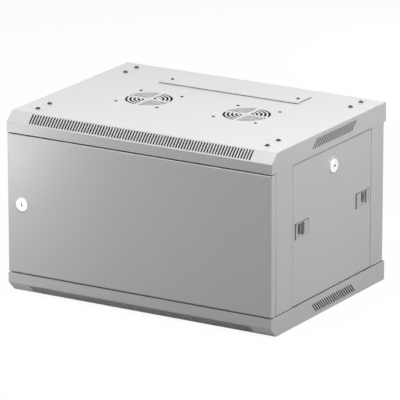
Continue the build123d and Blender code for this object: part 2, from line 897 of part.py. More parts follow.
def latch_bolt(face):
    """A bolt behind the finger cup, with a hook that passes behind the post's land."""
    bolt_rear = latch_cup_back + latch_wall
    stem_front = land_edge - latch_throw - latch_side_clearance
    hook_tip = land_edge - latch_release_gap
    with BuildPart() as bolt:
        slab(face, bolt_rear, stem_front, latch_hook_height, cup_back, hook_front)
        slab(face, bolt_rear, hook_tip, latch_hook_height, hook_front, hook_front + latch_hook_thickness)
    return bolt


for place, (latch_y, outboard) in latch_places.items():
    face = Plane(origin=(post_x, latch_y, latch_z), x_dir=(0, outboard, 0), z_dir=(1, 0, 0))
    latch = {"housing": latch_housing(face), "slider": latch_slider(face), "bolt": latch_bolt(face)}
    for piece, made in latch.items():
        finish(made, f"{place}_latch_{piece}_right")
        finish(mirrored(made, Plane.YZ), f"{place}_latch_{piece}_left")
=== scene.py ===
import json
import math
import bmesh
import bpy
from mathutils import Matrix, Vector

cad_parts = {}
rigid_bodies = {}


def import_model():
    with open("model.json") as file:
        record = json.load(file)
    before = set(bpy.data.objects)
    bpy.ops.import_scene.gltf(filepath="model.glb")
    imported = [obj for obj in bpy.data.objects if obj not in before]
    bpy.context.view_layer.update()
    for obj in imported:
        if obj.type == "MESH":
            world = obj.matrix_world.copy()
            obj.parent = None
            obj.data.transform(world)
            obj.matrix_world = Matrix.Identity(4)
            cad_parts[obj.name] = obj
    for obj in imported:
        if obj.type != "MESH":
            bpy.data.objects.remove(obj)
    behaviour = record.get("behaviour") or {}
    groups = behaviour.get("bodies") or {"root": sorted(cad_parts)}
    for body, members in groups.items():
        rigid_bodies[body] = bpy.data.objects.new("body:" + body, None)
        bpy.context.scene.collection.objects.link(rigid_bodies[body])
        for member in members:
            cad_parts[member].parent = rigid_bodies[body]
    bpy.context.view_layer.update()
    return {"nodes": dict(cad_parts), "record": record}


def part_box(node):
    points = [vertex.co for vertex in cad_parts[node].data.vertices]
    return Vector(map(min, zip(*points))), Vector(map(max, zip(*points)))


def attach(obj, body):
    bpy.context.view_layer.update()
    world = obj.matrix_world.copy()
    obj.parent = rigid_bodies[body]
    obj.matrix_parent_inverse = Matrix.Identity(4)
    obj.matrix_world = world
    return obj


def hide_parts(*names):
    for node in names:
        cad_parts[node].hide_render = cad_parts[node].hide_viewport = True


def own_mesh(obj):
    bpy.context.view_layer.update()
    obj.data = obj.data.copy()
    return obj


for old in list(bpy.data.objects):
    bpy.data.objects.remove(old)
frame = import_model()
nodes = frame["nodes"]
scene = bpy.context.scene
scene.view_settings.view_transform = "Standard"
MM = 0.001
SIDES = (("right", 1), ("left", -1))

# Materials

# The span that holds most values of a noise
NOISE_SPAN = (0.3, 0.7)


class Shader:
    """A node material around one Principled shader, with object coordinates."""

    def __init__(self, name):
        self.material = bpy.data.materials.new(name)
        self.material.use_nodes = True
        self.tree = self.material.node_tree
        self.tree.nodes.clear()
        out = self.node("ShaderNodeOutputMaterial")
        self.bsdf = self.node("ShaderNodeBsdfPrincipled")
        self.link(self.bsdf.outputs["BSDF"], out.inputs["Surface"])
        self.place = self.node("ShaderNodeTexCoord").outputs["Object"]

    def node(self, kind, **values):
        """A new node with its properties set."""
        made = self.tree.nodes.new(kind)
        for key, value in values.items():
            setattr(made, key, value)
        return made

    def link(self, source, target):
        self.tree.links.new(source, target)

    def surface(self, colour, roughness, normal):
        """Feeds the shader's colour, roughness and normal."""
        self.link(colour, self.bsdf.inputs["Base Color"])
        self.link(roughness, self.bsdf.inputs["Roughness"])
        self.link(normal, self.bsdf.inputs["Normal"])

    def constants(self, **values):
        """Sets inputs of the shader that are the same all over."""
        for key, value in values.items():
            self.bsdf.inputs[key.replace("_", " ")].default_value = value

    def noise(self, scale, detail=3.0, stretch=None):
        """A noise value at a scale of features per metre, stretched along the axes."""
        made = self.node("ShaderNodeTexNoise")
        made.inputs["Scale"].default_value = scale
        made.inputs["Detail"].default_value = detail
        source = self.place
        if stretch:
            mapping = self.node("ShaderNodeMapping")
            mapping.inputs["Scale"].default_value = stretch
            self.link(source, mapping.inputs["Vector"])
            source = mapping.outputs["Vector"]
        self.link(source, made.inputs["Vector"])
        return made.outputs["Fac"]

    def ramp(self, value, low, high, span=NOISE_SPAN):
        """A colour between two ends, from a value that crosses a span."""
        made = self.node("ShaderNodeValToRGB")
        made.color_ramp.elements[0].position = span[0]
        made.color_ramp.elements[0].color = (*low, 1)
        made.color_ramp.elements[1].position = span[1]
        made.color_ramp.elements[1].color = (*high, 1)
        self.link(value, made.inputs["Fac"])
        return made.outputs["Color"]

    def mix(self, first, second, factor):
        """Two colours mixed by a fixed factor."""
        made = self.node("ShaderNodeMix", data_type="RGBA")
        made.inputs["Factor"].default_value = factor
        self.link(first, made.inputs["A"])
        self.link(second, made.inputs["B"])
        return made.outputs["Result"]

    def spread(self, value, low, high):
        """A noise value carried over to a range."""
        made = self.node("ShaderNodeMapRange")
        made.inputs["From Min"].default_value = NOISE_SPAN[0]
        made.inputs["From Max"].default_value = NOISE_SPAN[1]
        made.inputs["To Min"].default_value = low
        made.inputs["To Max"].default_value = high
        self.link(value, made.inputs["Value"])
        return made.outputs["Result"]

    def bump(self, value, strength, distance, under=None):
        """A bump from a value, on top of another normal if there is one."""
        made = self.node("ShaderNodeBump")
        made.inputs["Strength"].default_value = strength
        made.inputs["Distance"].default_value = distance
        self.link(value, made.inputs["Height"])
        if under:
            self.link(under, made.inputs["Normal"])
        return made.outputs["Normal"]


def grey(level, warm=0.0):
    """A grey that leans to a warm tone, or to a cold one below zero."""
    return (level * (1 + warm), level, level * (1 - warm))


def powder_coat():
    """Pale grey paint with faint patches, fine specks and an orange peel surface."""
    shader = Shader("powder_coat")
    patches = shader.ramp(shader.noise(scale=5.0, detail=4.0), grey(0.665, -0.002), grey(0.69, 0.002))
    specks = shader.ramp(shader.noise(scale=1700.0, detail=2.0), grey(0.63), grey(0.715))
    colour = shader.mix(patches, specks, factor=0.3)
    roughness = shader.spread(shader.noise(scale=40.0), 0.285, 0.325)
    peel = shader.bump(shader.noise(scale=620.0, detail=2.0), strength=0.12, distance=0.0004)
    grain = shader.bump(shader.noise(scale=2300.0, detail=2.0), strength=0.06, distance=0.0002, under=peel)
    shader.surface(colour, roughness, grain)
    shader.constants(IOR=1.5)
    return shader.material


def zinc():
    """Zinc plated steel with a spangle of cells and marks drawn along the height."""
    shader = Shader("zinc_plate")
    cells = shader.node("ShaderNodeTexVoronoi")
    cells.inputs["Scale"].default_value = 130.0
    shader.link(shader.place, cells.inputs["Vector"])
    spangle = shader.ramp(cells.outputs["Distance"], grey(0.56, -0.02), grey(0.66, -0.01), span=(0.1, 0.6))
    drawn = shader.ramp(shader.noise(scale=300.0, detail=4.0, stretch=(1, 1, 0.03)), grey(0.5), grey(0.7))
    colour = shader.mix(spangle, drawn, factor=0.35)
    roughness = shader.spread(shader.noise(scale=70.0), 0.3, 0.45)
    marks = shader.bump(shader.noise(scale=900.0, stretch=(1, 1, 0.05)), strength=0.08, distance=0.0002)
    shader.surface(colour, roughness, marks)
    shader.constants(Metallic=1.0)
    return shader.material


def screw_steel():
    """Dark oiled steel of the screws and the spring."""
    shader = Shader("screw_steel")
    colour = shader.ramp(shader.noise(scale=260.0, detail=4.0), grey(0.05, -0.01), grey(0.1, 0.01))
    roughness = shader.spread(shader.noise(scale=420.0), 0.24, 0.4)
    pits = shader.bump(shader.noise(scale=1500.0), strength=0.1, distance=0.0001)
    shader.surface(colour, roughness, pits)
    shader.constants(Metallic=1.0)
    return shader.material


def chrome():
    """Bright plating of the locks, with a slight haze."""
    shader = Shader("lock_chrome")
    colour = shader.ramp(shader.noise(scale=90.0), grey(0.9), grey(0.96, -0.005))
    roughness = shader.spread(shader.noise(scale=500.0, detail=4.0), 0.1, 0.2)
    haze = shader.bump(shader.noise(scale=1800.0, detail=2.0), strength=0.03, distance=0.0001)
    shader.surface(colour, roughness, haze)
    shader.constants(Metallic=1.0)
    return shader.material


def plastic():
    """Pale moulded plastic of the latches, with a fine grain."""
    shader = Shader("latch_plastic")
    tone = shader.ramp(shader.noise(scale=30.0, detail=4.0), grey(0.63), grey(0.66, 0.003))
    grain = shader.ramp(shader.noise(scale=2600.0, detail=2.0), grey(0.58), grey(0.7))
    colour = shader.mix(tone, grain, factor=0.25)
    roughness = shader.spread(shader.noise(scale=60.0), 0.48, 0.58)
    texture = shader.bump(shader.noise(scale=1900.0), strength=0.16, distance=0.0002)
    shader.surface(colour, roughness, texture)
    return shader.material


def dark_plastic(name, tone, gloss=0.5):
    """Matte plastic of one tone with blotches and grain; its dark tones paint the shade in the latches' gaps
    and pockets, in seams and behind the vents, and give the black rubber of the grommets and the hinge
    sleeve.
    """
    shader = Shader(name)
    blotches = shader.ramp(shader.noise(scale=45.0, detail=4.0), grey(tone * 0.85), grey(tone * 1.15, 0.01))
    grain = shader.ramp(shader.noise(scale=2400.0, detail=2.0), grey(tone * 0.7), grey(tone * 1.3))
    colour = shader.mix(blotches, grain, factor=0.3)
    roughness = shader.spread(shader.noise(scale=70.0), 0.55, 0.7)
    texture = shader.bump(shader.noise(scale=1700.0), strength=0.2, distance=0.0002)
    shader.surface(colour, roughness, texture)
    shader.constants(Specular_IOR_Level=gloss)
    return shader.material


# These tones paint shade: the pocket lining is a little darker than the latch plastic, then the gap blocks,
# the seam strips, the near-black rubber of the seals, keyways and cable lid gasket (which also makes the
# grommets and the hinge sleeve), and the near-black foam behind the vents.
pocket_shade_plastic = dark_plastic("pocket_shade_plastic", tone=0.5)
gap_shade_plastic = dark_plastic("gap_shade_plastic", tone=0.16)
seam_shade_plastic = dark_plastic("seam_shade_plastic", tone=0.36)
rubber_and_gap_shade = dark_plastic("rubber_and_gap_shade", tone=0.015, gloss=0.15)
shade_filter_foam = dark_plastic("shade_filter_foam", tone=0.012, gloss=0.1)
looks = {
    "cabinet_paint": powder_coat(),
    "zinc_steel": zinc(),
    "screw_steel": screw_steel(),
    "lock_chrome": chrome(),
    "latch_plastic": plastic(),
}


def dress(obj, slot):
    """Gives an object the material of one of the record's slots."""
    obj.data.materials.clear()
    obj.data.materials.append(looks[slot])


# CAD nodes: materials and softened edges

for subpart in frame["record"]["subparts"]:
    dress(nodes[subpart["node"]], subpart["material_slot"])

# Edge widths in millimetres by a part of the node's name, where the first that fits counts
EDGES = (
    ("lock_housing", 0.5),
    ("lock_plug", 0.25),
    ("lock_cam", 0.3),
    ("lock_clip", 0.2),
    ("latch_housing", 0.35),
    ("latch_slider", 0.4),
    ("latch_bolt", 0.3),
    ("cable_cover", 0.3),
    ("_post_", 0.4),
    ("rack_rail", 0.4),
    ("rack_bolts", 0.4),
    ("depth_rail", 0.4),
    ("rear_panel", 0.3),
    ("stiffener", 0.3),
    ("hinge", 0.3),
)
SAME_CORNER = 0.000002
FLAT_ANGLE = math.radians(0.5)
EDGE_ANGLE = math.radians(40)


def soften(obj, width, loose=False):
    """Rounds the sharp edges of an object by modifiers, and first joins the corners of loose faces."""
    if loose:
        joined = obj.modifiers.new("joined corners", "WELD")
        joined.merge_threshold = SAME_CORNER
    flat = obj.modifiers.new("flat faces", "DECIMATE")
    flat.decimate_type = "DISSOLVE"
    flat.angle_limit = FLAT_ANGLE
    round_edges = obj.modifiers.new("round edges", "BEVEL")
    round_edges.width = width * MM
    round_edges.segments = 2
    round_edges.limit_method = "ANGLE"
    round_edges.angle_limit = EDGE_ANGLE
    round_edges.loop_slide = False


for name, obj in nodes.items():
    for part, width in EDGES:
        if part in name and "screws" not in name:
            soften(obj, width, loose=True)
            break

# Tools for small pieces

SMOOTH_ANGLE = math.radians(32)
SAME_POINT = 0.000001
SMALL_EDGE = 0.2
THIN_EDGE = 0.1


def to_object(name, mesh):
    """An object of a finished mesh, smooth where its faces meet at a low angle."""
    bmesh.ops.recalc_face_normals(mesh, faces=mesh.faces)
    data = bpy.data.meshes.new(name)
    mesh.to_mesh(data)
    mesh.free()
    for face in data.polygons:
        face.use_smooth = True
    data.set_sharp_from_angle(angle=SMOOTH_ANGLE)
    obj = bpy.data.objects.new(name, data)
    scene.collection.objects.link(obj)
    return obj


def box_mm(node):
    """The lowest and highest corners of a CAD node, in millimetres."""
    low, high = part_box(node)
    return Vector(low) / MM, Vector(high) / MM


def middle(node):
    """The middle of a CAD node's box, in metres."""
    low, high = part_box(node)
    return (Vector(low) + Vector(high)) / 2


def panel_face(side, outward):
    """Where the outer face of a side panel lies along X, in metres."""
    low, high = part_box(f"side_panel_{side}")
    return (high if outward > 0 else low)[0]


def side_axes(outward, x, y, z):
    """Axes at a point on a side of the cabinet: across is Y, up is Z and depth is outwards."""
    return Matrix(((0, 0, outward, x), (1, 0, 0, y), (0, 1, 0, z), (0, 0, 0, 1)))


def add_block(mesh, across, up, depth):
    """Adds a block between spans across, up and in depth, in millimetres."""
    corners = [mesh.verts.new((x * MM, y * MM, z * MM)) for z in depth for y in up for x in across]
    for face in ((0, 1, 3, 2), (4, 6, 7, 5), (0, 4, 5, 1), (2, 3, 7, 6), (0, 2, 6, 4), (1, 5, 7, 3)):
        mesh.faces.new([corners[index] for index in face])


def add_frame(mesh, across, up, window, depth):
    """Adds a plate with a window between spans across, up and in depth, in millimetres."""
    columns = (across[0], *window[0], across[1])
    rows = (up[0], *window[1], up[1])
    grid = [[mesh.verts.new((x * MM, y * MM, depth[0] * MM)) for y in rows] for x in columns]
    cells = []
    for column in range(3):
        for row in range(3):
            if (column, row) != (1, 1):
                after = grid[column + 1]
                corners = (grid[column][row], after[row], after[row + 1], grid[column][row + 1])
                cells.append(mesh.faces.new(corners))
    raised = bmesh.ops.extrude_face_region(mesh, geom=cells)["geom"]
    tops = [item for item in raised if isinstance(item, bmesh.types.BMVert)]
    bmesh.ops.translate(mesh, verts=tops, vec=(0, 0, (depth[1] - depth[0]) * MM))


def add_prism(mesh, outline, depth):
    """Adds a prism of an outline between two depths, in millimetres."""
    low, high = ([mesh.verts.new((x * MM, y * MM, z * MM)) for x, y in outline] for z in depth)
    mesh.faces.new(low[::-1])
    mesh.faces.new(high)
    for step in range(len(outline)):
        after = (step + 1) % len(outline)
        mesh.faces.new((low[step], low[after], high[after], high[step]))


def bulb(width, rise, steps=12):
    """The outline of a seal with full round shoulders over a flat foot, in millimetres."""
    outline = []
    for step in range(steps + 1):
        turn = math.pi * step / steps
        across = math.copysign(abs(math.cos(turn)) ** 0.5, math.cos(turn))
        up = math.sin(turn) ** 0.5 if 0 < step < steps else 0.0
        outline.append((across * width / 2, up * rise))
    return outline


def placed(name, mesh, place, look, body, edge=SMALL_EDGE):
    """Finishes a piece that was made on a place's own axes and lets it ride a body."""
    mesh.transform(place)
    obj = to_object(name, mesh)
    obj.data.materials.append(look)
    if edge:
        soften(obj, edge)
    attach(obj, body)
    return obj


def lathe(name, profile, segments=40):
    """A closed solid turned about Z from (radius, height) points in millimetres."""
    mesh = bmesh.new()
    rings = []
    for radius, high in profile:
        if radius == 0:
            rings.append([mesh.verts.new((0, 0, high * MM))])
            continue
        ring = []
        for step in range(segments):
            turn = 2 * math.pi * step / segments
            x, y = radius * MM * math.cos(turn), radius * MM * math.sin(turn)
            ring.append(mesh.verts.new((x, y, high * MM)))
        rings.append(ring)
    for low, high in zip(rings, rings[1:]):
        for step in range(segments):
            after = (step + 1) % segments
            near = [low[step % len(low)], low[after % len(low)]]
            far = [high[after % len(high)], high[step % len(high)]]
            mesh.faces.new(list(dict.fromkeys(near + far)))
    bmesh.ops.remove_doubles(mesh, verts=mesh.verts, dist=SAME_POINT)
    return to_object(name, mesh)


# Pan head screws

# Shares of a screw's own sizes
HEAD_RADIUS = 0.74
HEAD_CROWN = 1.02
DOME_FLAT = 0.5
DOME_FOOT = 0.55
WASHER_RISE = 0.28
WASHER_FLAT = 0.96
WASHER_SIDE = 0.7
CROSS_WIDTH = 0.26
CROSS_REACH = 0.62
CROSS_DEPTH = 0.5
CROSS_TAPER = 0.6
# Millimetres, a count and degrees
CUTTER_ABOVE = 1
DOME_STEPS = 6
FIRST_TURN = 20
NEXT_TURN = 37


def cross_cutter(width, reach, depth, top):
    """A tapered cross that cuts a recess, in millimetres."""
    half = width / 2
    quarter = [(reach, half), (half, half), (half, reach)]
    outline = list(quarter)
    for _ in range(3):
        quarter = [(-y, x) for x, y in quarter]
        outline += quarter
    mesh = bmesh.new()
    mouth = (top + CUTTER_ABOVE) * MM
    foot = (top - depth) * MM
    above = [mesh.verts.new((x * MM, y * MM, mouth)) for x, y in outline]
    below = [mesh.verts.new((x * MM * CROSS_TAPER, y * MM * CROSS_TAPER, foot)) for x, y in outline]
    mesh.faces.new(above)
    mesh.faces.new(below[::-1])
    count = len(outline)
    for step in range(count):
        after = (step + 1) % count
        mesh.faces.new((above[step], below[step], below[after], above[after]))
    return to_object("cross", mesh)


def pan_screw(radius, rise, shank, length):
    """The mesh of one pan head screw on a washer, with a cross recess, its seat at zero."""
    head_radius = radius * HEAD_RADIUS
    washer = rise * WASHER_RISE
    dome = []
    for step in range(DOME_STEPS + 1):
        turn = math.radians(90 * step / DOME_STEPS)
        across = DOME_FLAT + (1 - DOME_FLAT) * math.sin(turn)
        up = DOME_FOOT + (1 - DOME_FOOT) * math.cos(turn)
        dome.append((head_radius * across, rise * up))
    seat = [
        (head_radius, washer),
        (radius * WASHER_FLAT, washer),
        (radius, washer * WASHER_SIDE),
        (radius, 0),
    ]
    profile = [(0, rise * HEAD_CROWN), *dome, *seat, (shank, 0), (shank, -length), (0, -length)]
    head = lathe("screw", profile)
    cutter = cross_cutter(head_radius * CROSS_WIDTH, head_radius * CROSS_REACH, rise * CROSS_DEPTH, rise)
    cut = head.modifiers.new("recess", "BOOLEAN")
    cut.operation = "DIFFERENCE"
    cut.object = cutter
    bpy.context.view_layer.update()
    data = bpy.data.meshes.new_from_object(head.evaluated_get(bpy.context.evaluated_depsgraph_get()))
    bpy.data.objects.remove(head)
    bpy.data.objects.remove(cutter)
    return data


def screw_places(node, apart=15):
    """The middle of each screw of a CAD node, from corners that lie close together, in millimetres."""
    groups = []
    for vert in nodes[node].data.vertices:
        point = nodes[node].matrix_world @ vert.co / MM
        near = [group for group in groups if (group[0] - point).xy.length < apart]
        if near:
            near[0].append(point)
        else:
            groups.append([point])
    places = []
    for group in groups:
        across = [point.x for point in group]
        along = [point.y for point in group]
        places.append(((min(across) + max(across)) / 2, (min(along) + max(along)) / 2))
    return sorted(places)


def screw_group(name, one, seat, body, replaced):
    """Makes one object with a screw on a seat at each place of a CAD node, each turned by its own amount."""
    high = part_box(seat)[1][2] / MM
    mesh = bmesh.new()
    for number, (x, y) in enumerate(screw_places(replaced)):
        copy = one.copy()
        turn = Matrix.Rotation(math.radians(NEXT_TURN * number + FIRST_TURN), 4, "Z")
        copy.transform(Matrix.Translation((x * MM, y * MM, high * MM)) @ turn)
        mesh.from_mesh(copy)
        bpy.data.meshes.remove(copy)
    obj = to_object(name, mesh)
    dress(obj, "screw_steel")
    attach(obj, body)
    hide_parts(replaced)


cover_screw = pan_screw(radius=5.25, rise=3.2, shank=2.5, length=9.0)
screw_group("cover_screws", cover_screw, "top_cover", "cabinet", "top_frame_screws")
lid_screw = pan_screw(radius=3.75, rise=2.2, shank=2.0, length=6.0)
screw_group("cable_cover_screws", lid_screw, "top_cable_cover", "cabinet", "top_cable_cover_screws")

# Rounded rosettes of the side locks

ROSETTE = 14.25
ROSETTE_RISE = 5.5
ROSETTE_ROUND = 3.4
ROSETTE_SEGMENTS = 64
RIM_STEPS = 8
LOCK_BORE = 6.55
BORE_BEVEL = (0.5, 0.3)
LOCK_BARREL = 7.9
LOCK_BARREL_LENGTH = 11.8


def rosette_profile():
    """The (radius, height) outline of a lock housing with a rounded rim, as a closed ring."""
    rim = []
    for step in range(RIM_STEPS + 1):
        turn = math.radians(90 * step / RIM_STEPS)
        across = ROSETTE - ROSETTE_ROUND + ROSETTE_ROUND * math.sin(turn)
        rim.append((across, ROSETTE_RISE - ROSETTE_ROUND + ROSETTE_ROUND * math.cos(turn)))
    barrel = [
        (ROSETTE, 0),
        (LOCK_BARREL, 0),
        (LOCK_BARREL, -LOCK_BARREL_LENGTH),
        (LOCK_BORE, -LOCK_BARREL_LENGTH),
    ]
    start = (LOCK_BORE, ROSETTE_RISE - BORE_BEVEL[1])
    return [start, (LOCK_BORE + BORE_BEVEL[0], ROSETTE_RISE), *rim, *barrel, start]


for side, outward in SIDES:
    centre = middle(f"side_lock_housing_{side}")
    rosette = lathe(f"side_lock_rosette_{side}", rosette_profile(), ROSETTE_SEGMENTS)
    turned = Matrix.Rotation(math.radians(90 * outward), 4, "Y")
    rosette.matrix_world = Matrix.Translation((panel_face(side, outward), centre.y, centre.z)) @ turned
    dress(rosette, "lock_chrome")
    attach(rosette, f"side_panel_{side}")
    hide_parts(f"side_lock_housing_{side}")

# Faces and finger pockets of the side latches, with dark blocks and a darker lining that paint the shade in
# their gaps and pockets

# Spans across and up from the middle of a latch housing, and depths from the panel's face
LATCH_FACE = ((-20.3, 27.2), (-16.2, 13.8))
LATCH_FACE_DEPTH = (-2.45, -0.5)
LATCH_GAPS = (((-27.2, -20.6), (-16.2, 16.2)), ((-20.3, 27.2), (14.1, 16.2)))
LATCH_GAP_DEPTH = (-2.45, -2.0)
LEAST_GAP = 1
WINDOWS = {"front": (-14.5, 11.5), "rear": (-3.5, 18.5)}
WINDOW_HALF = 12.5
HOUSING_WINDOW_OUTBOARD = 17.0
HOUSING_WINDOW_INBOARD = 5.0
CUP_OUTBOARD = 13.95
CUP_INBOARD = 2.95
CUP_HALF = 10.95
CUP_DEPTH = (-10.95, -4.3)
CUP_LINING = 0.4
GRIP_PLACES = (-4.0, 0.0, 4.0)
GRIP_HALF = 0.7
GRIP_RISE = 1.2
GRIP_MARGIN = 3


def latch_gap_shades(end, outboard):
    """The mesh of dark blocks in the gaps round a latch's face and beside the housing's window, which paint
    the shade in these gaps.
    """
    mesh = bmesh.new()
    for across, up in LATCH_GAPS:
        add_block(mesh, across, up, LATCH_GAP_DEPTH)
    open_low, open_high = sorted((outboard * HOUSING_WINDOW_OUTBOARD, -outboard * HOUSING_WINDOW_INBOARD))
    for across in ((WINDOWS[end][0], open_low), (open_high, WINDOWS[end][1])):
        if across[1] - across[0] > LEAST_GAP:
            add_block(mesh, across, (-WINDOW_HALF, WINDOW_HALF), LATCH_GAP_DEPTH)
    return mesh


def pocket_lining(outboard):
    """The mesh of the lining of a slider's finger pocket, with grip ridges on its floor; its darker grey
    paints shade inside the pocket.
    """
    mesh = bmesh.new()
    cup = sorted((outboard * CUP_OUTBOARD, -outboard * CUP_INBOARD))
    up = (-CUP_HALF, CUP_HALF)
    inner_half = CUP_HALF - CUP_LINING
    inner = ((cup[0] + CUP_LINING, cup[1] - CUP_LINING), (-inner_half, inner_half))
    floor_depth = CUP_DEPTH[0] + CUP_LINING
    add_frame(mesh, cup, up, inner, (floor_depth, CUP_DEPTH[1]))
    add_block(mesh, cup, up, (CUP_DEPTH[0], floor_depth))
    grip_up = (-CUP_HALF + GRIP_MARGIN, CUP_HALF - GRIP_MARGIN)
    for offset in GRIP_PLACES:
        ridge = sum(cup) / 2 + offset
        across = (ridge - GRIP_HALF, ridge + GRIP_HALF)
        add_block(mesh, across, grip_up, (floor_depth, floor_depth + GRIP_RISE))
    return mesh


for side, outward in SIDES:
    panel_body = f"side_panel_{side}"
    for end, outboard in (("front", -1), ("rear", 1)):
        centre = middle(f"{end}_latch_housing_{side}")
        axes = side_axes(outward, panel_face(side, outward), centre.y, centre.z)
        face = bmesh.new()
        add_frame(face, *LATCH_FACE, (WINDOWS[end], (-WINDOW_HALF, WINDOW_HALF)), LATCH_FACE_DEPTH)
        plate = placed(f"{end}_latch_face_{side}", face, axes, looks["latch_plastic"], panel_body)
        # The gap blocks are dark grey, painted shade in the gaps round the latch's face.
        placed(f"{end}_latch_gap_{side}", latch_gap_shades(end, outboard), axes, gap_shade_plastic, panel_body)
        lining = pocket_lining(outboard)
        slider_body = f"{end}_latch_{side}"
        placed(f"{end}_latch_pocket_{side}", lining, axes, pocket_shade_plastic, slider_body, THIN_EDGE)

# Dark seals and strips that paint the shade in the gaps and seams, near-black foam behind the vents that
# paints the shade in the slots, and a gasket under the cable entry's lid whose dark edge paints the shadow
# under the lid

SEAL_PROUD = 0.4
SEAL_HEIGHT = 1.4
SEAM_SHADE_HEIGHT = 1.5
SEAM_SHADE_DROP = 0.05
STRIP_INSET = 0.5
POST_FOOT = 0.05
PANEL_FOOT = 1.0
DOOR_SEAL_WIDTH = 14.2
DOOR_SEAL_BEHIND = 1.2
DOOR_SEAL_FROM_LEFT = 2
DOOR_SEAL_FROM_RIGHT = 14
PIN_SEAL_WIDTH = 2.0
PIN_SEAL_FROM_RIGHT = (13.8, 1.5)
SLEEVE_WALL = 0.25
SLEEVE_GAP = 0.3
SLEEVE_OVERLAP = 0.1
FILTER_BEHIND = (-2.8, -0.3)
FILTER_FRAME = (-3.6, -2.8)
FILTER_RIM = 4.0
FILTER_RIBS = 5
FILTER_RIB_HALF = 1
COVER_SLOPE = 20.0
FRONT_FILTER = ((-255, 255), (-12.5, 12.5))
SIDE_FILTER = ((-90, 90), (-12, 12))
SIDE_VENT_Y = 18.5
SIDE_VENT_DROP = 18.2
GASKET = 0.9
GASKET_SEAT = 0.02
GASKET_UNDER = 1
AS_MADE = Matrix.Identity(4)

cover_low, cover_high = box_mm("top_cover")
base_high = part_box("bottom_cover")[1][2] / MM
door_low, door_high = box_mm("door_panel")


def top_gap_shade_seal(name, width, across):
    """Makes a near-black seal under the front of the top cover, between two places across the door, that
    paints the shade in the gap over the door.
    """
    mesh = bmesh.new()
    add_prism(mesh, bulb(width, SEAL_HEIGHT), across)
    seal_y = cover_low.y + DOOR_SEAL_BEHIND + width / 2
    axes = Matrix(((0, 0, 1, 0), (1, 0, 0, seal_y * MM), (0, -1, 0, cover_low.z * MM), (0, 0, 0, 1)))
    placed(name, mesh, axes, rubber_and_gap_shade, "cabinet", 0)


def edge_strip(node, kind, outward, level, height, look, body):
    """Makes a strip along the outer face of a post or side panel, its middle at a level; dark strips here
    paint the shade lines of the seams.
    """
    low, high = box_mm(node)
    outer_x = high.x if outward > 0 else low.x
    axes = Matrix(((0, outward, 0, outer_x * MM), (0, 0, 1, 0), (1, 0, 0, level * MM), (0, 0, 0, 1)))
    mesh = bmesh.new()
    add_prism(mesh, bulb(height, SEAL_PROUD), (low.y + STRIP_INSET, high.y - STRIP_INSET))
    placed(f"{node}_{kind}", mesh, axes, look, body, 0)


def vent_shade_filter(name, axes, across, up):
    """Makes a pad of near-black foam in a ribbed frame behind a row of vents, which paints the shade inside
    the slots.
    """
    mesh = bmesh.new()
    add_block(mesh, across, up, FILTER_BEHIND)
    window = ((across[0] + FILTER_RIM, across[1] - FILTER_RIM), (up[0] + FILTER_RIM, up[1] - FILTER_RIM))
    add_frame(mesh, across, up, window, FILTER_FRAME)
    for number in range(FILTER_RIBS):
        place = across[0] + (across[1] - across[0]) * (number + 1) / (FILTER_RIBS + 1)
        add_block(mesh, (place - FILTER_RIB_HALF, place + FILTER_RIB_HALF), window[1], FILTER_FRAME)
    placed(name, mesh, axes, shade_filter_foam, "cabinet")


# The door seal and the hinge pin seal are near-black strips that paint the shade in the gap over the door.
door_seal_ends = (door_low.x + DOOR_SEAL_FROM_LEFT, door_high.x - DOOR_SEAL_FROM_RIGHT)
top_gap_shade_seal("door_gap_shade_seal", DOOR_SEAL_WIDTH, door_seal_ends)
pin_seal_ends = [door_high.x - distance for distance in PIN_SEAL_FROM_RIGHT]
top_gap_shade_seal("hinge_pin_gap_shade_seal", PIN_SEAL_WIDTH, pin_seal_ends)

collar_low, collar_high = box_mm("lower_hinge_pin")
sleeve = bmesh.new()
add_frame(
    sleeve,
    (collar_low.x - SLEEVE_WALL, collar_high.x + SLEEVE_WALL),
    (collar_low.y - SLEEVE_WALL, collar_high.y + SLEEVE_WALL),
    (
        (collar_low.x + SLEEVE_OVERLAP, collar_high.x - SLEEVE_OVERLAP),
        (collar_low.y + SLEEVE_OVERLAP, collar_high.y - SLEEVE_OVERLAP),
    ),
    (base_high + SLEEVE_GAP, door_low.z - SLEEVE_GAP),
)
placed("hinge_collar_sleeve", sleeve, AS_MADE, rubber_and_gap_shade, "door", THIN_EDGE)

slope = math.sqrt(0.5)
slope_axes = Matrix(
    (
        (1, 0, 0, 0),
        (0, slope, -slope, (cover_low.y + COVER_SLOPE / 2) * MM),
        (0, slope, slope, (cover_high.z - COVER_SLOPE / 2) * MM),
        (0, 0, 0, 1),
    )
)
# The foam pads are near black and reach into the slots, painting the shade inside the vents.
vent_shade_filter("front_vent_filter", slope_axes, *FRONT_FILTER)

for side, outward in SIDES:
    skirt_x = outward * cover_high.x
    for level, high in (("upper", cover_high.z - SIDE_VENT_DROP), ("lower", SIDE_VENT_DROP)):
        axes = side_axes(outward, skirt_x * MM, SIDE_VENT_Y * MM, high * MM)
        vent_shade_filter(f"{level}_vent_shade_filter_{side}", axes, *SIDE_FILTER)
    # Near-black seals at the foot of the posts and panels paint the shadow line of the seam over the base
    # cover.
    post_level = base_high + POST_FOOT + SEAL_HEIGHT / 2
    for end in ("front", "rear"):
        post = f"{end}_post_{side}"
        edge_strip(post, "seal", outward, post_level, SEAL_HEIGHT, rubber_and_gap_shade, "cabinet")
    panel = f"side_panel_{side}"
    panel_level = base_high + PANEL_FOOT + SEAL_HEIGHT / 2
    edge_strip(panel, "seal", outward, panel_level, SEAL_HEIGHT, rubber_and_gap_shade, panel)
    # A grey strip at the panel's top paints the shade line of the seam under the top cover.
    seam_shade_level = box_mm(panel)[1].z - SEAM_SHADE_DROP - SEAM_SHADE_HEIGHT / 2
    edge_strip(panel, "seam_shade", outward, seam_shade_level, SEAM_SHADE_HEIGHT, seam_shade_plastic, panel)

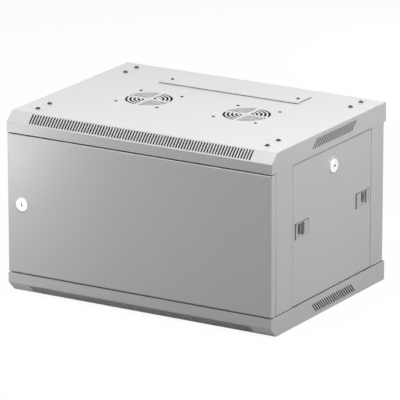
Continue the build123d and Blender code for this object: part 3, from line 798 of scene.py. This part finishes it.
lid_low, lid_high = box_mm("top_cable_cover")
lid_across = (lid_low.x - SEAL_PROUD, lid_high.x + SEAL_PROUD)
lid_along = (lid_low.y - SEAL_PROUD, lid_high.y + SEAL_PROUD)
lid_hole = (
    (lid_low.x + GASKET_UNDER, lid_high.x - GASKET_UNDER),
    (lid_low.y + GASKET_UNDER, lid_high.y - GASKET_UNDER),
)
# The gasket reaches past the lid's edges as a near-black line that paints the shadow under them.
gasket_shade = bmesh.new()
add_frame(gasket_shade, lid_across, lid_along, lid_hole, (lid_low.z + GASKET_SEAT, lid_low.z + GASKET))
placed("cable_cover_gasket_shade", gasket_shade, AS_MADE, rubber_and_gap_shade, "cabinet", THIN_EDGE)

# Grommets in the fan holes, and near-black keyways on the locks that paint the shade in the key holes

# (radius, height) points over the top cover
GROMMET = (
    (3.4, 0.02),
    (3.4, 0.45),
    (3.1, 0.7),
    (1.5, 0.7),
    (1.2, 0.4),
    (1.2, -1.6),
    (3.0, -1.6),
    (3.0, -1.25),
    (2.2, -1.25),
    (2.2, 0.02),
)
GROMMET_SEGMENTS = 32
KEYWAY = (
    (-0.7, -4.2),
    (0.9, -4.2),
    (1.4, -3.4),
    (1.4, 0.3),
    (0.7, 1.0),
    (0.7, 2.0),
    (1.3, 2.7),
    (1.3, 3.6),
    (0.7, 4.2),
    (-0.8, 4.2),
    (-1.4, 3.5),
    (-1.4, -0.5),
    (-0.7, -1.2),
    (-0.7, -2.0),
    (-1.4, -2.7),
    (-1.4, -3.6),
)
KEYWAY_DEPTH = (-0.5, 0.12)

one_grommet = lathe("grommet", [*GROMMET, GROMMET[0]], GROMMET_SEGMENTS)
grommets = bmesh.new()
for mount in frame["record"]["mounts"]:
    if mount["name"].startswith("fan"):
        fan = Vector(mount["pos_m"]) / MM
        half_x, half_y = mount["dims"]["spacing_x_mm"] / 2, mount["dims"]["spacing_y_mm"] / 2
        for x in (fan.x - half_x, fan.x + half_x):
            for y in (fan.y - half_y, fan.y + half_y):
                copy = one_grommet.data.copy()
                copy.transform(Matrix.Translation(Vector((x, y, cover_high.z)) * MM))
                grommets.from_mesh(copy)
                bpy.data.meshes.remove(copy)
bpy.data.objects.remove(one_grommet)
placed("fan_grommets", grommets, AS_MADE, rubber_and_gap_shade, "cabinet", 0)

# Each plug with the matrix that turns a keyway to face outwards, and the body that it rides
for plug, axes, body in (
    ("door_lock_plug", ((1, 0, 0), (0, 0, -1), (0, 1, 0)), "door_lock"),
    ("side_lock_plug_right", ((0, 0, 1), (0, 1, 0), (-1, 0, 0)), "side_lock_right"),
    ("side_lock_plug_left", ((0, 0, -1), (0, 1, 0), (1, 0, 0)), "side_lock_left"),
):
    low, high = (Vector(corner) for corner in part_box(plug))
    turned = Matrix(axes)
    outward = turned @ Vector((0, 0, 1))
    reach = abs((high - low).dot(outward)) / 2
    # The keyway is a near-black plate on the plug's face that paints the shade inside the key hole.
    keyway = bmesh.new()
    add_prism(keyway, KEYWAY, KEYWAY_DEPTH)
    place = Matrix.Translation(middle(plug) + outward * reach) @ turned.to_4x4()
    placed(f"{plug}_keyway", keyway, place, rubber_and_gap_shade, body, 0)

# Coil spring on the upper hinge pin

SPRING_LENGTH = 21.5
SPRING_RADIUS = 4.2
SPRING_WIRE = 0.6
SPRING_TURNS = 7
CLOSED_TURNS = 0.7
PIN_RADIUS = 3.0


def coil(name, turns, radius, wire, length, around=8, steps=28):
    """A coil spring that stands on zero, with its ends closed flat, in millimetres."""
    mesh = bmesh.new()
    rings = []
    for step in range(turns * steps + 1):
        turn = 2 * math.pi * step / steps
        share = min(max((step / steps - CLOSED_TURNS) / (turns - 2 * CLOSED_TURNS), 0), 1)
        high = wire + share * (length - 2 * wire)
        ring = []
        for corner in range(around):
            lean = 2 * math.pi * corner / around
            across = radius + wire * math.cos(lean)
            up = high + wire * math.sin(lean)
            x, y = across * MM * math.cos(turn), across * MM * math.sin(turn)
            ring.append(mesh.verts.new((x, y, up * MM)))
        rings.append(ring)
    for low, high in zip(rings, rings[1:]):
        for corner in range(around):
            after = (corner + 1) % around
            mesh.faces.new((low[corner], low[after], high[after], high[corner]))
    mesh.faces.new(rings[0][::-1])
    mesh.faces.new(rings[-1])
    return to_object(name, mesh)


pin_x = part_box("upper_hinge_pin")[1][0] - PIN_RADIUS * MM
pin_y = middle("upper_hinge_pin").y
bracket_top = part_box("hinge_bracket")[1][2]
spring = coil("hinge_spring", SPRING_TURNS, SPRING_RADIUS, SPRING_WIRE, SPRING_LENGTH)
spring.location = (pin_x, pin_y, bracket_top)
dress(spring, "screw_steel")
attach(spring, "door")
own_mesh(spring)

# Camera, fitted to the photograph

AZIMUTH = 30.946
ELEVATION = 16.382
DISTANCE = 9.0018
TARGET = Vector((0, 0, 0.184))
SENSOR = 36.0
LENS = 409.9
SHIFT = (0.0072, -0.0087)
FARTHEST = 100.0

turn, rise = math.radians(AZIMUTH), math.radians(ELEVATION)
back = Vector((math.sin(turn) * math.cos(rise), -math.cos(turn) * math.cos(rise), math.sin(rise)))
camera = bpy.data.objects.new("camera", bpy.data.cameras.new("camera"))
scene.collection.objects.link(camera)
camera.location = TARGET + back * DISTANCE
camera.rotation_mode = "QUATERNION"
camera.rotation_quaternion = (-back).to_track_quat("-Z", "Y")
camera.data.sensor_width = SENSOR
camera.data.lens = LENS
camera.data.shift_x, camera.data.shift_y = SHIFT
camera.data.clip_end = FARTHEST
scene.camera = camera

# Floor, world and lights

AMBIENT = 0.01
WHITE = 1.0
FLOOR_TONE = 0.2
FLOOR_PALE = 0.9
FLOOR_SHADOW = 0.04
FLOOR_HALF = 30.0
FLOOR_DROP = 0.0005


def plain_shader(tree, kind, tone, strength=None):
    """The output of a shader of one grey, with a strength if it glows."""
    made = tree.nodes.new(kind)
    made.inputs["Color"].default_value = (*grey(tone), 1)
    if strength is not None:
        made.inputs["Strength"].default_value = strength
    return made.outputs[0]


def white_for_camera(tree, other, seen):
    """Mixes a shader with the one that is seen by the camera, in mirrors and through glass."""
    path = tree.nodes.new("ShaderNodeLightPath")
    share = path.outputs["Is Camera Ray"]
    for ray in ("Is Glossy Ray", "Is Transmission Ray"):
        either = tree.nodes.new("ShaderNodeMath")
        either.operation = "MAXIMUM"
        tree.links.new(share, either.inputs[0])
        tree.links.new(path.outputs[ray], either.inputs[1])
        share = either.outputs[0]
    mixer = tree.nodes.new("ShaderNodeMixShader")
    tree.links.new(share, mixer.inputs["Fac"])
    tree.links.new(other, mixer.inputs[1])
    tree.links.new(seen, mixer.inputs[2])
    return mixer.outputs[0]


world = bpy.data.worlds.new("studio")
scene.world = world
world.use_nodes = True
tree = world.node_tree
tree.nodes.clear()
ambient = plain_shader(tree, "ShaderNodeBackground", WHITE, strength=AMBIENT)
white = plain_shader(tree, "ShaderNodeBackground", WHITE, strength=1.0)
world_out = tree.nodes.new("ShaderNodeOutputWorld")
tree.links.new(white_for_camera(tree, ambient, white), world_out.inputs["Surface"])

floor_data = bpy.data.meshes.new("floor")
corners = [(x * FLOOR_HALF, y * FLOOR_HALF, -FLOOR_DROP) for x, y in ((-1, -1), (1, -1), (1, 1), (-1, 1))]
floor_data.from_pydata(corners, [], [(0, 1, 2, 3)])
floor = bpy.data.objects.new("floor", floor_data)
scene.collection.objects.link(floor)
floor_look = bpy.data.materials.new("floor")
floor_look.use_nodes = True
tree = floor_look.node_tree
tree.nodes.clear()
matte = plain_shader(tree, "ShaderNodeBsdfDiffuse", FLOOR_TONE)
glow = plain_shader(tree, "ShaderNodeEmission", WHITE, strength=1.0)
pale = plain_shader(tree, "ShaderNodeBsdfDiffuse", FLOOR_PALE)
shadowed = tree.nodes.new("ShaderNodeMixShader")
shadowed.inputs["Fac"].default_value = 1 - FLOOR_SHADOW
tree.links.new(pale, shadowed.inputs[1])
tree.links.new(glow, shadowed.inputs[2])
floor_out = tree.nodes.new("ShaderNodeOutputMaterial")
tree.links.new(white_for_camera(tree, matte, shadowed.outputs[0]), floor_out.inputs["Surface"])
floor_data.materials.append(floor_look)


def area_light(name, place, aim, size, power):
    """Adds a soft rectangular lamp that points at a place and isn't seen by the camera."""
    data = bpy.data.lights.new(name, "AREA")
    data.shape = "RECTANGLE"
    data.size, data.size_y = size
    data.energy = power
    lamp = bpy.data.objects.new(name, data)
    scene.collection.objects.link(lamp)
    lamp.location = place
    lamp.rotation_mode = "QUATERNION"
    lamp.rotation_quaternion = (Vector(aim) - Vector(place)).to_track_quat("-Z", "Y")
    lamp.visible_camera = False


area_light("key", place=(0.05, -0.92, 2.63), aim=(0, 0, 0.25), size=(1.7, 1.0), power=56.5)
area_light("side", place=(1.4, 0.4, 1.1), aim=(0.3, 0, 0.3), size=(0.8, 0.8), power=10.6)
area_light("fill", place=(1.4, -0.5, 0.95), aim=(0.3, 0, 0.25), size=(0.6, 0.6), power=3.4)
area_light("left", place=(-2.0, 0.25, 0.7), aim=(-0.3, 0.05, 0.2), size=(1.0, 0.8), power=9.0)
area_light("back", place=(-0.2, 2.2, 0.5), aim=(0, 0.225, 0.2), size=(0.8, 0.6), power=14.0)
area_light("card", place=(-0.64, -0.71, 0.19), aim=(-0.3, -0.225, 0.32), size=(0.18, 0.28), power=1.5)
